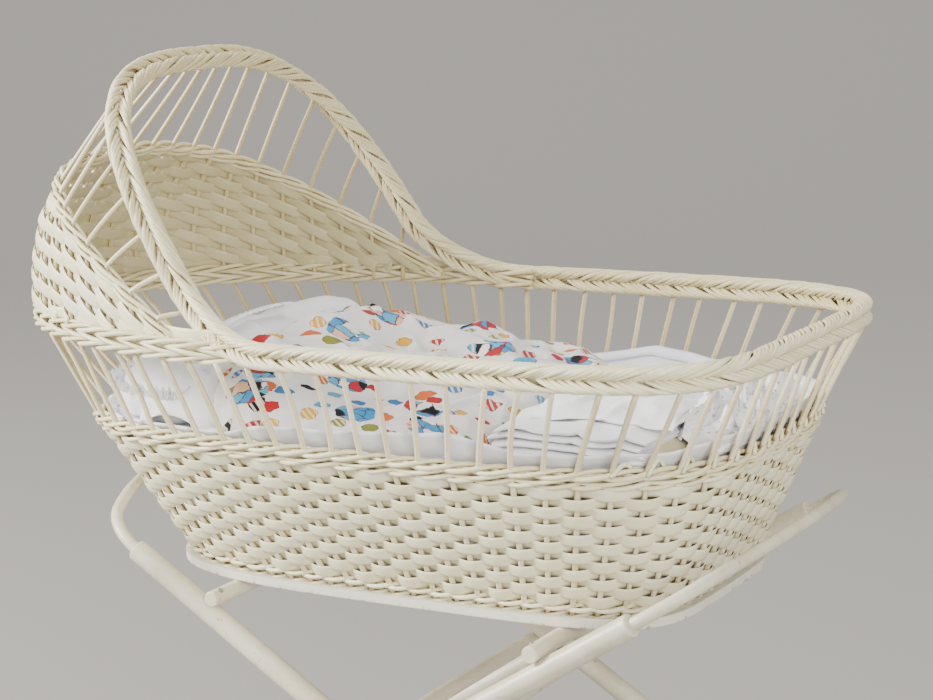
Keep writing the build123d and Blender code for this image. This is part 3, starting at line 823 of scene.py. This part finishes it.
# ================================================================ bedding
def waves(x, y, size, seed, terms=9):
    """Smooth random relief, about -1 to 1, with bumps of the given size in metres."""
    pick = np.random.default_rng(seed)
    total = np.zeros(np.broadcast(x, y).shape)
    for _ in range(terms):
        way = pick.uniform(0, 2 * np.pi)
        pitch = 2 * np.pi / (size * pick.uniform(0.7, 1.6))
        total = total + np.cos(pitch * (x * np.cos(way) + y * np.sin(way)) + pick.uniform(0, 6.3))
    return total / terms ** 0.5 / 1.4


def eased(at, places, values):
    """Interpolates with level tangents at every place, so that crests are round."""
    index = np.clip(np.searchsorted(places, at) - 1, 0, len(places) - 2)
    places, values = np.array(places), np.array(values)
    share = np.clip((at - places[index]) / (places[index + 1] - places[index]), 0, 1)
    return values[index] + (values[index + 1] - values[index]) * share ** 2 * (3 - 2 * share)


def creases(x, y, size, seed):
    """Sharp-topped folds from 0 to 1."""
    return np.clip(1 - np.abs(waves(x, y, size, seed)) * 1.9, 0, 1) ** 1.6


def grid_mesh(name, points, material, close_u=False, thick=None):
    """A smooth surface through a (rows, columns, 3) array of points; close_u joins each row's ends."""
    rows, columns = points.shape[:2]
    i, j = np.meshgrid(np.arange(rows - 1), np.arange(columns if close_u else columns - 1), indexing="ij")
    here, below, beside = i * columns, (i + 1) * columns, (j + 1) % columns
    faces = np.stack([here + j, here + beside, below + beside, below + j], -1)
    piece = new_piece(name, points.reshape(-1, 3), faces.reshape(-1, 4).tolist(), material)
    if thick:
        shell = piece.modifiers.new("cloth_thickness", "SOLIDIFY")
        shell.thickness = thick
        shell.offset = 0
    return piece


def close_ends(piece):
    """Closes the small round holes left at the first and last rows."""
    mesh = bmesh.new()
    mesh.from_mesh(piece.data)
    bmesh.ops.holes_fill(mesh, edges=[edge for edge in mesh.edges if edge.is_boundary], sides=0)
    bmesh.ops.recalc_face_normals(mesh, faces=mesh.faces)
    mesh.to_mesh(piece.data)
    mesh.free()


def applied(piece):
    """Turns a piece's modifiers into its mesh."""
    graph = bpy.context.evaluated_depsgraph_get()
    mesh = bpy.data.meshes.new_from_object(piece.evaluated_get(graph))
    piece.modifiers.clear()
    piece.data = mesh
    shade_smooth(mesh)


def vertices(mesh):
    flat = np.empty(len(mesh.vertices) * 3)
    mesh.vertices.foreach_get("co", flat)
    return flat.reshape(-1, 3)


def set_vertices(mesh, points):
    mesh.vertices.foreach_set("co", points.ravel())
    mesh.update()


def softened(piece):
    smooth = piece.modifiers.new("soft", "SUBSURF")
    smooth.levels = smooth.render_levels = 1


def kept_inside(points, gap):
    """Brings points beyond the inner faces of the wall and its stakes back to them."""
    flat = points.reshape(-1, 3).copy()
    levels = np.linspace(0.10, 0.26, 33)
    ovals = np.array([wall_oval(z) - (gap + 0.003 * (z < WALE_TOP)) * SIZES for z in levels])
    height = flat[:, 2] - BASE_Z
    head, foot, half, middle, square_head, square_foot = (
        np.interp(height, levels, ovals[:, k]) for k in range(6))
    x = flat[:, 0] - PIVOT_X - middle
    square = np.where(x > 0, square_foot, square_head)
    lengthwise, sideways = np.abs(x) / np.where(x > 0, foot, head), np.abs(flat[:, 1]) / half
    over = np.maximum((lengthwise ** square + sideways ** square) ** (1 / square), 1)
    flat[:, 0] = PIVOT_X + middle + x / over
    flat[:, 1] /= over
    return flat.reshape(points.shape)


def puff(piece, voxel, cap, pressure=4.0, spare=0.04, frames=20, gap=0.0130):
    """Swells a closed shape as cloth filled with wadding, with a share of spare cloth so that it wrinkles.
    No point moves further than cap. Returns the points from before the swelling."""
    remesh = piece.modifiers.new("even_faces", "REMESH")
    remesh.mode = "VOXEL"
    remesh.voxel_size = voxel
    applied(piece)
    rest = vertices(piece.data)
    cloth = piece.modifiers.new("cloth", "CLOTH")
    settings = {"quality": 5, "mass": 0.3, "use_pressure": True, "uniform_pressure_force": pressure,
                "shrink_min": -spare, "shrink_max": -spare, "bending_stiffness": 0.12}
    for key, value in settings.items():
        setattr(cloth.settings, key, value)
    cloth.settings.effector_weights.gravity = 0
    cloth.point_cache.frame_start = 1
    cloth.point_cache.frame_end = frames
    for number in range(1, frames + 1):
        bpy.context.scene.frame_set(number)
    applied(piece)
    bpy.context.scene.frame_set(1)
    move = vertices(piece.data) - rest
    size = np.linalg.norm(move, axis=1, keepdims=True)
    set_vertices(piece.data, rest + move * np.minimum(1, cap / np.maximum(size, 1e-9)))
    if gap:
        set_vertices(piece.data, kept_inside(vertices(piece.data), gap))
    softened(piece)
    return rest


def dome(name, top, outline, base, material, rings=34, around=120, belly=0.5, shoulder=2.6):
    """Closed form from its outline: a crowned top given by a height function over a flat underside."""
    share = np.sin(np.linspace(0, np.pi / 2, rings))[1:]
    turn = round_turns(around)
    edge = outline(turn)
    middle = edge.mean(0)
    ground = middle + (edge - middle) * share[:, None, None]
    lift = (1 - share ** shoulder)[:, None] ** belly
    x, y = ground[..., 0], ground[..., 1]
    height = base + 0.006 + (top(x, y) - base - 0.006) * lift
    upper = np.dstack([x, y, BASE_Z + height])
    lower = np.dstack([x, y, np.full_like(x, BASE_Z + base)])
    rows = np.concatenate([upper, lower[::-1]])
    piece = grid_mesh(name, rows, material, close_u=True)
    close_ends(piece)
    return piece


def squarish(x0, x1, half0, half1, middle, square):
    """Outline with rounded corners: x is from the pivot, with a half-width at each end."""
    def outline(turn):
        u, v = squared(np.cos(turn), square), squared(np.sin(turn), square)
        half = half0 + (half1 - half0) * (u + 1) / 2
        return np.column_stack([PIVOT_X + (x0 + x1) / 2 + u * (x1 - x0) / 2, middle + v * half])
    return outline


def oval_rows(levels, inset, around=200):
    """Closed outlines up the inside of the wall, between rings that cover the bottom and the top;
    inset is a function of the share of the height."""
    turn = round_turns(around)
    rows = np.array([np.column_stack([*oval_xy(wall_oval(z) - inset(share) * SIZES, turn),
                                      np.full(around, BASE_Z + z)]) for share, z in levels])
    low, high = (row.mean(0) + (row - row.mean(0)) * cover[:, None, None]
                 for row, cover in ((rows[0], COVER[::-1]), (rows[-1], COVER)))
    return low, rows, high


def mattress():
    """Flat wadded mattress with a tufted, slightly crowned top."""
    levels = [(s, 0.014 + 0.086 * s) for s in np.linspace(0, 1, 14)]
    low, wall, high = oval_rows(levels, lambda s: 0.0165 + 0.010 * abs(2 * s - 1) ** 4)
    x, y = high[..., 0], high[..., 1]
    high[..., 2] += 0.008 * (1 - COVER[:, None] ** 2) - 0.004 * creases(x, y, 0.15, 5)
    piece = grid_mesh("mattress_pad", np.concatenate([low, wall, high]), white_cotton, close_u=True)
    close_ends(piece)
    puff(piece, 0.008, 0.004, pressure=2.0, spare=0.01, frames=8, gap=None)
    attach(piece, "basket")
    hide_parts("mattress")


def folded_blanket():
    """Cream blanket folded in three under the sheet."""
    layers = 3
    levels = [(s, 0.1145 + 0.0325 * s) for s in np.linspace(0, 1, layers * 8 + 1)]
    low, wall, high = oval_rows(levels, lambda s: 0.024 - 0.006 * abs(math.sin(math.pi * layers * s)) ** 0.6)
    high[..., 2] += 0.0012 * waves(high[..., 0], high[..., 1], 0.09, 11)
    piece = grid_mesh("cream_blanket_folds", np.concatenate([low, wall, high]), cream_blanket, close_u=True)
    close_ends(piece)
    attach(piece, "basket")
    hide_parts("folded_blanket")


def sheet_top(x, y):
    """Height of the under-sheet's raised edge along each long side."""
    u = x - PIVOT_X
    near = np.interp(u, [-0.33, -0.15, -0.11, 0.0, 0.10, 0.135, 0.17, 0.30, 0.34],
                     [0.161, 0.162, 0.173, 0.176, 0.184, 0.177, 0.169, 0.172, 0.178])
    far = np.interp(u, [-0.33, -0.20, -0.11, -0.01, 0.05, 0.095, 0.174, 0.26, 0.34],
                    [0.166, 0.183, 0.170, 0.168, 0.176, 0.186, 0.177, 0.174, 0.178])
    side = 0.5 + 0.5 * np.tanh(y / 0.05)
    return near + (far - near) * side


def under_sheet():
    """White sheet over the blanket, its edges standing up against the stakes."""
    turn = round_turns(360)
    floor_edge = np.column_stack(oval_xy(wall_oval(0.153) - 0.016 * SIZES, turn))
    middle = np.array([PIVOT_X - 0.02, 0.0])
    rows = []
    for share in np.linspace(0.02, 1.0, 34):
        ground = middle + (floor_edge - middle) * share
        z = 0.1520 + 0.0016 * waves(ground[:, 0], ground[:, 1], 0.05, 21)
        z = z + 0.0035 * creases(ground[:, 0], ground[:, 1], 0.11, 22) * share
        rows.append(np.column_stack([ground, BASE_Z + z]))
    ends = oval_xy(wall_oval(0.16), turn)
    top = sheet_top(*ends)
    inset = 0.0135 + 0.0028 * (1 + waves(ends[0], ends[1], 0.07, 23))

    def standing(height, inset):
        """Outline at a height of its own at every turn, drawn in from the wall."""
        oval = np.stack([wall_oval(z) for z in height], -1) - SIZES[:, None] * inset
        return np.column_stack([*oval_xy(oval, turn), BASE_Z + height])

    for share in np.linspace(0.10, 1.0, 12):
        rows.append(standing(0.153 + (top - 0.153) * share, inset + 0.0045 * (1 - share) ** 2))
    # the hem turns over inwards
    for inward, drop in ((0.0012, -0.0008), (0.0030, 0.0004), (0.0042, 0.0030), (0.0046, 0.0075)):
        rows.append(standing(top - drop, inset + inward))
    piece = grid_mesh("white_under_sheet", np.array(rows), dotted_cotton, close_u=True, thick=0.0012)
    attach(piece, "basket")
    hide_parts("under_sheet")


def pillow():
    """Pillow under the hood, wider towards the foot."""
    outline = squarish(-0.352, -0.200, 0.132, 0.176, -0.004, 3.2)

    def top(x, y):
        u = x - PIVOT_X
        crown = 0.205 + 0.014 * np.cos((u + 0.27) / 0.09)  # highest across the pillow's middle
        return crown + 0.004 * waves(x, y, 0.08, 31) + 0.004 * creases(x, y, 0.07, 32)
    piece = dome("white_pillow", top, outline, 0.1525, white_cotton, belly=0.42)
    puff(piece, 0.0055, 0.009, pressure=3.0, spare=0.05, frames=14)
    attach(piece, "basket")
    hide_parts("pillow")
    pillow_frill(outline)


def pillow_frill(outline):
    """Gathered edging round the pillow's seam."""
    turn = round_turns(900)
    edge = outline(turn)
    normal = unit(edge - edge.mean(0))
    rows = []
    for share in np.linspace(0, 1, 8):
        flutter = 0.0060 * share * np.sin(turn * 62 + 2 * np.sin(turn * 9))
        ground = edge + normal * (-0.004 + 0.018 * share)
        rows.append(np.column_stack([ground, BASE_Z + 0.176 + 0.012 * share + flutter]))
    frill = grid_mesh("pillow_frill", np.array(rows), eyelet_lace, close_u=True, thick=0.0006)
    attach(frill, "basket")


def quilt_top(x, y):
    """Height of the quilt: high at its head end, falling towards the foot, over soft folds."""
    u = x - PIVOT_X
    ridge = np.interp(u, [-0.20, -0.165, -0.12, -0.073, -0.013, 0.05, 0.11],
                      [0.229, 0.238, 0.229, 0.208, 0.199, 0.194, 0.182])
    side = np.interp(y, [-0.205, -0.16, -0.06, 0.02, 0.10, 0.16],
                     [-0.026, -0.008, 0.004, -0.006, 0.003, -0.014])
    hump = 0.006 * waves(x, y, 0.13, 41) + 0.015 * creases(x, y, 0.17, 42) + 0.008 * creases(x, y, 0.075, 43)
    return ridge + side * np.interp(u, [-0.2, 0.1], [1.0, 0.6]) + hump - 0.004


def quilt():
    """The printed quilt; its print is laid over the flat cloth, so it also runs down the steep sides."""
    middle = -0.022
    outline = squarish(-0.197, 0.113, 0.176, 0.182, middle, 4.2)
    piece = dome("printed_quilt", quilt_top, outline, 0.157, printed_cotton, rings=44, around=160, belly=0.34,
                 shoulder=6.0)
    rest = puff(piece, 0.0045, 0.010, pressure=3.5, spare=0.07, frames=16)
    depth = BASE_Z + 0.235 - rest[:, 2]
    steep = np.clip((np.abs(rest[:, 1] - middle) - 0.10) / 0.08, 0, 1)
    along = rest[:, 0] + 0.3 * depth
    across = rest[:, 1] + np.sign(rest[:, 1] - middle) * depth * steep
    stored = piece.data.attributes.new("print", "FLOAT_VECTOR", "POINT")
    stored.data.foreach_set("vector", np.column_stack([along, across, np.zeros(len(rest))]).ravel())
    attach(piece, "basket")
    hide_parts("patterned_quilt")


def turned_sheet():
    """White sheet turned back over the quilt's head end, bulging up on its far half."""
    y = np.linspace(-0.186, 0.168, 150)
    crest_x = eased(y, [-0.186, -0.05, 0.03, 0.10, 0.168], [-0.232, -0.250, -0.252, -0.228, -0.200])
    crest_z = eased(y, [-0.186, -0.150, -0.09, -0.01, 0.03, 0.095, 0.168],
                    [0.172, 0.214, 0.235, 0.238, 0.235, 0.244, 0.204])
    rows = []
    for share in np.linspace(-1, 1, 44):
        if share < 0:
            x = crest_x - 0.046 * math.sin(-share * math.pi / 2)
            z = crest_z - 0.046 * (1 - math.cos(-share * math.pi / 2)) ** 0.9
        else:
            x = crest_x + 0.054 * math.sin(share * math.pi / 2)
            z = crest_z - 0.050 * (1 - math.cos(share * math.pi / 2))
        fold = 0.0030 * creases(x * 0.5, y, 0.09, 51) + 0.0012 * waves(x, y, 0.05, 52)
        x = x + 0.0025 * waves(x * 0, y, 0.07, 53)
        rows.append(np.column_stack([PIVOT_X + x, y, BASE_Z + z + fold - 0.003]))
    piece = grid_mesh("turned_white_sheet", kept_inside(np.array(rows), 0.0150), white_cotton, thick=0.0011)
    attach(piece, "basket")


def sheet_frill():
    """Gathered edging along the turned sheet's near half."""
    span = np.linspace(0, 1, 420)
    y = -0.15 + 0.18 * span
    x = eased(y, [-0.165, -0.05, 0.03, 0.10], [-0.225, -0.250, -0.252, -0.228]) + 0.012
    z = eased(y, [-0.165, -0.09, -0.01, 0.03], [0.216, 0.241, 0.243, 0.241])
    rows = []
    for share in np.linspace(0, 1, 7):
        flutter = 0.0040 * share * np.sin(span * 150 + 3 * np.sin(span * 17))
        rows.append(np.column_stack([PIVOT_X + x + 0.012 * share + flutter, y + flutter * 0.5,
                                     BASE_Z + z - 0.002 + 0.006 * np.sin(share * 2.2)]))
    frill = grid_mesh("sheet_frill", np.array(rows), eyelet_lace, thick=0.0005)
    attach(frill, "basket")


def back_and_forth(layers, gap, pick):
    """Section of a cloth folded to and fro: (share of the width, height) points, with round folds."""
    line = []
    for layer in range(layers):
        forth = layer % 2 == 0
        inset = pick.uniform(0, 0.05)
        for share in np.linspace(0, 1, 15) if forth else np.linspace(1, 0, 15):
            line.append((inset + share * (1 - 2 * inset), layer * gap))
        if layer < layers - 1:
            end, out = line[-1][0], 0.035 if forth else -0.035
            for turn in (0.25, 0.5, 0.75):
                lift = (1 - math.cos(math.pi * turn)) / 2
                line.append((end + out * math.sin(math.pi * turn), (layer + lift) * gap))
    return np.array(line)


def folded_bundle(name, along, across, low, layers, gap, seed, droop):
    """A cloth folded back and forth, its folds along the two long sides."""
    line = back_and_forth(layers, gap, np.random.default_rng(seed))
    x0, x1 = along
    y0, y1 = across
    y = y0 + (y1 - y0) * line[:, 0]
    level = line[:, 1] / (gap * (layers - 1))
    sag = -droop * (np.abs(y - (y0 + y1) / 2) / abs(y1 - y0) * 2) ** 3
    rows = []
    for at in np.linspace(x0, x1, 70):
        relief = 0.0018 * waves(at, y, 0.06, seed + 1) + 0.0035 * creases(at, y, 0.08, seed + 2) * level
        edge = -0.006 * (abs((at - x0) / (x1 - x0) - 0.5) * 2) ** 6 * level
        shift = 0.003 * math.sin(at * 60 + seed)
        wobble = 0.0025 * waves(np.full_like(y, at), line[:, 1] * 8, 0.05, seed + 3)
        x = np.full_like(y, PIVOT_X + at) + 0.004 * np.sin(y * 40 + line[:, 1] * 300)
        z = BASE_Z + low + line[:, 1] + (relief + sag) * (0.35 + level) + edge
        rows.append(np.column_stack([x, y + shift + wobble, z]))
    piece = grid_mesh(name, kept_inside(np.array(rows), CLOTH_GAP), white_cotton, thick=0.0016)
    softened(piece)
    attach(piece, "basket")
    return piece


def folded_cloths():
    lower = folded_bundle("folded_cloth_stack", along=(0.126, 0.274), across=(-0.184, -0.034), low=0.1600,
                          layers=9, gap=0.0036, seed=61, droop=0.004)
    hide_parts("folded_cloths")
    upper = folded_bundle("upper_folded_cloth", along=(0.146, 0.286), across=(-0.152, -0.020), low=0.1925,
                          layers=3, gap=0.0034, seed=71, droop=0.006)


def cream_cloth():
    """A soft cream cover rolled up under the folded cloths, showing at both ends of the stack."""
    outline = squarish(0.108, 0.282, 0.078, 0.060, -0.104, 3.4)

    def top(x, y):
        end = np.clip((x - PIVOT_X - 0.235) / 0.03, 0, 1)
        return 0.168 + 0.012 * end + 0.005 * waves(x, y, 0.07, 81) + 0.005 * creases(x, y, 0.08, 82)
    piece = dome("cream_cloth", top, outline, 0.1545, cream_blanket, belly=0.40)
    puff(piece, 0.006, 0.004, pressure=2.0, spare=0.03, frames=8)
    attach(piece, "basket")


def lace_cloth():
    """Eyelet lace crumpled up against the foot end."""
    u, v = np.meshgrid(np.linspace(0, 1, 90), np.linspace(0, 1, 110), indexing="ij")
    y = 0.085 - 0.205 * v + 0.010 * waves(u * 0.3, v * 0.3, 0.08, 91)
    x = (0.262 + 0.072 * u + 0.006 * waves(u * 0.3, v * 0.3, 0.06, 92)
         - 0.05 * np.clip(np.abs(v - 0.45) - 0.3, 0, 1))
    lift = (np.sin(np.pi * np.clip(u * 1.02, 0, 1) ** 1.2) ** 0.6
            * np.sin(np.pi * np.clip(v, 0.02, 0.98)) ** 0.5)
    z = 0.161 + lift * (0.030 + 0.016 * waves(u * 0.25, v * 0.3, 0.10, 93)
                        + 0.016 * creases(u * 0.25, v * 0.3, 0.07, 94)
                        + 0.006 * creases(u * 0.25, v * 0.3, 0.03, 95))
    points = kept_inside(np.dstack([PIVOT_X + x, y, BASE_Z + z]), CLOTH_GAP)
    piece = grid_mesh("crumpled_lace", points, eyelet_lace, thick=0.0008)
    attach(piece, "basket")
    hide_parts("lace_cloth")


# ================================================================ stage
def finish_nodes(names, material):
    """Paints CAD meshes."""
    for name in names:
        for slot in bpy.data.objects[name].material_slots:
            slot.material = material


def backdrop():
    """A grey sweep: floor in front, rising in one curve behind, turned to face the camera."""
    behind, radius, reach, top = 4.5, 1.6, 9, 9
    bend = np.linspace(0.1, np.pi / 2, 14)
    depth = np.concatenate([np.linspace(-reach, behind, 12), behind + radius * np.sin(bend),
                            np.full(6, behind + radius)])
    height = np.concatenate([np.zeros(12), radius - radius * np.cos(bend), np.linspace(2.2, top, 6)])
    side, deep = np.meshgrid(np.linspace(-reach, reach, 20), depth)
    turn = math.radians(CAMERA_AZ)
    x = side * math.cos(turn) - deep * math.sin(turn)
    y = side * math.sin(turn) + deep * math.cos(turn)
    n = Nodes("backdrop_paper")
    tone = n.mix(n.noise(n.place(), 0.6, 2.0), (0.150, 0.142, 0.128), (0.142, 0.134, 0.120))
    n.surface(tone, Roughness=0.9, Emission_Color=(0.312, 0.296, 0.276), Emission_Strength=1.0)
    floor = grid_mesh("studio_sweep", np.dstack([x, y, np.tile(height[:, None], 20)]), n.material)


def area_light(name, place, aim, size, power, colour):
    data = bpy.data.lights.new(name, "AREA")
    data.shape = "RECTANGLE"
    data.size, data.size_y = size
    data.energy = power
    data.color = colour
    lamp = bpy.data.objects.new(name, data)
    lamp.location = place
    lamp.rotation_euler = (Vector(aim) - Vector(place)).to_track_quat("-Z", "Y").to_euler()
    bpy.context.scene.collection.objects.link(lamp)


CAMERA_AZ, CAMERA_EL, CAMERA_ROLL = 29.93, 10.53, -1.76
CAMERA_AWAY = 2.222
CAMERA_LENS = 87.14


def camera():
    az, el, roll = (math.radians(v) for v in (CAMERA_AZ, CAMERA_EL, CAMERA_ROLL))
    target = Vector((PIVOT_X - 0.0014, 0, BASE_Z + 0.2141))
    back = Vector((math.sin(az) * math.cos(el), -math.cos(az) * math.cos(el), math.sin(el)))
    right = Vector((math.cos(az), math.sin(az), 0))
    up = back.cross(right)
    turned_right = right * math.cos(roll) + up * math.sin(roll)
    turned_up = up * math.cos(roll) - right * math.sin(roll)
    data = bpy.data.cameras.new("camera")
    data.lens = CAMERA_LENS
    data.sensor_width = 36
    eye = bpy.data.objects.new("camera", data)
    place = Matrix((turned_right, turned_up, back)).transposed().to_4x4()
    place.translation = target + back * CAMERA_AWAY
    eye.matrix_world = place
    bpy.context.scene.collection.objects.link(eye)
    bpy.context.scene.camera = eye


def lights():
    world = bpy.data.worlds.new("studio")
    world.use_nodes = True
    world.node_tree.nodes["Background"].inputs["Color"].default_value = (1.0, 0.985, 0.96, 1)
    world.node_tree.nodes["Background"].inputs["Strength"].default_value = 0.58
    bpy.context.scene.world = world
    middle = (0.0, 0.0, 0.6)
    area_light("key", (-3.0, -1.7, 2.1), middle, (1.3, 1.3), 370, (1.0, 0.985, 0.96))
    area_light("fill", (2.4, -2.4, 1.5), middle, (1.5, 1.5), 125, (1.0, 0.99, 0.97))
    area_light("top", (-0.3, 0.6, 3.0), middle, (2.2, 2.2), 50, (1.0, 0.99, 0.97))


# ================================================================ making everything
white_cotton = cotton("white_cotton_finish", (0.88, 0.88, 0.895), (0.83, 0.835, 0.86))
dotted_cotton = cotton("dotted_sheet_finish", (0.80, 0.81, 0.85), (0.75, 0.76, 0.80), 500.0, 40.0, 0.25)
cream_blanket = cotton("cream_blanket_finish", (0.80, 0.72, 0.48), (0.73, 0.63, 0.38), 200.0, 60.0, 0.5)
printed_cotton = quilt_print()
eyelet_lace = lace()
pole_finish, bar_finish, steel_finish, board_finish = pole_paint(), bare_wood(), steel(), board_paint()

lower_wall()
base_border()
lower_wale()
wall_stakes()
hood_weave()
hood_foot_band()
hood_wale()
hood_stakes()
rim_and_arch()
mattress()
folded_blanket()
under_sheet()
pillow()
quilt()
turned_sheet()
sheet_frill()
cream_cloth()
folded_cloths()
lace_cloth()

for side in ("inner", "outer"):
    poles = ("pole_near", "pole_far", "top_bow", "floor_runner")
    finish_nodes([f"{side}_{part}" for part in poles], pole_finish)
    finish_nodes([f"{side}_{part}" for part in ("stop_bar", "support_bar")], bar_finish)
    finish_nodes([f"{side}_bar_nails"], steel_finish)
finish_nodes(["pivot_bolts", "pivot_nuts", "pivot_washers"], steel_finish)
finish_nodes(["base_board"], board_finish)

backdrop()
lights()
camera()
